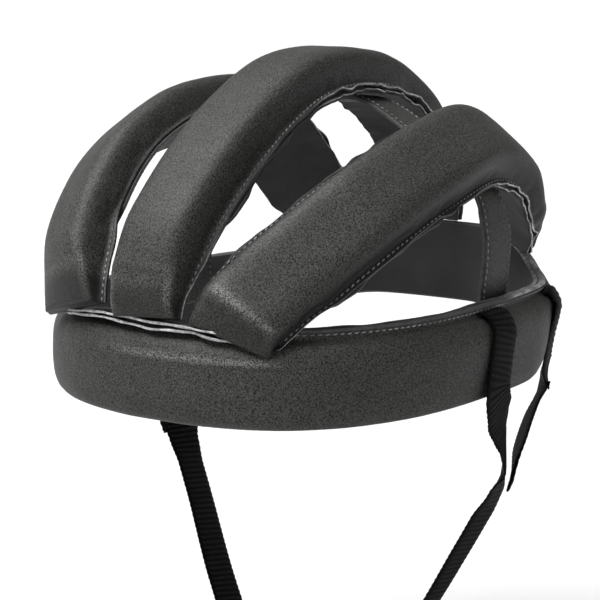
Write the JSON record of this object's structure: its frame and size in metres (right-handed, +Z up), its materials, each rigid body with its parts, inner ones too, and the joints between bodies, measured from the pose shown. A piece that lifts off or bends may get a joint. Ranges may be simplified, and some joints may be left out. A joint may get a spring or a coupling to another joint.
{
  "type": "head guard",
  "caption": "Open leather head guard: a padded head band, padded ribs over the crown, a flat ear-to-ear strap and webbing chin straps.",
  "frame": {"origin": "middle of the head opening, level with the lower edge of the band at the forehead", "axes": "+Z up, the wearer faces -Y, the wearer's left is +X"},
  "size_m": [0.19, 0.2209, 0.2773],
  "materials": {
    "leather": "satin grained",
    "lining": "matte suede",
    "webbing": "ribbed weave",
    "clasp": "matte"
  },
  "bodies": {
    "root": {"head_band": "leather", "band_lining": "lining", "rib_center": "leather", "rib_left": "leather", "rib_right": "leather", "rib_center_lining": "lining", "rib_left_lining": "lining", "rib_right_lining": "lining", "cross_strap": "leather", "front_web_left": "webbing", "front_web_right": "webbing", "rear_web_left": "webbing", "rear_web_right": "webbing", "chin_clasp": "clasp"}
  },
  "joints": []
}
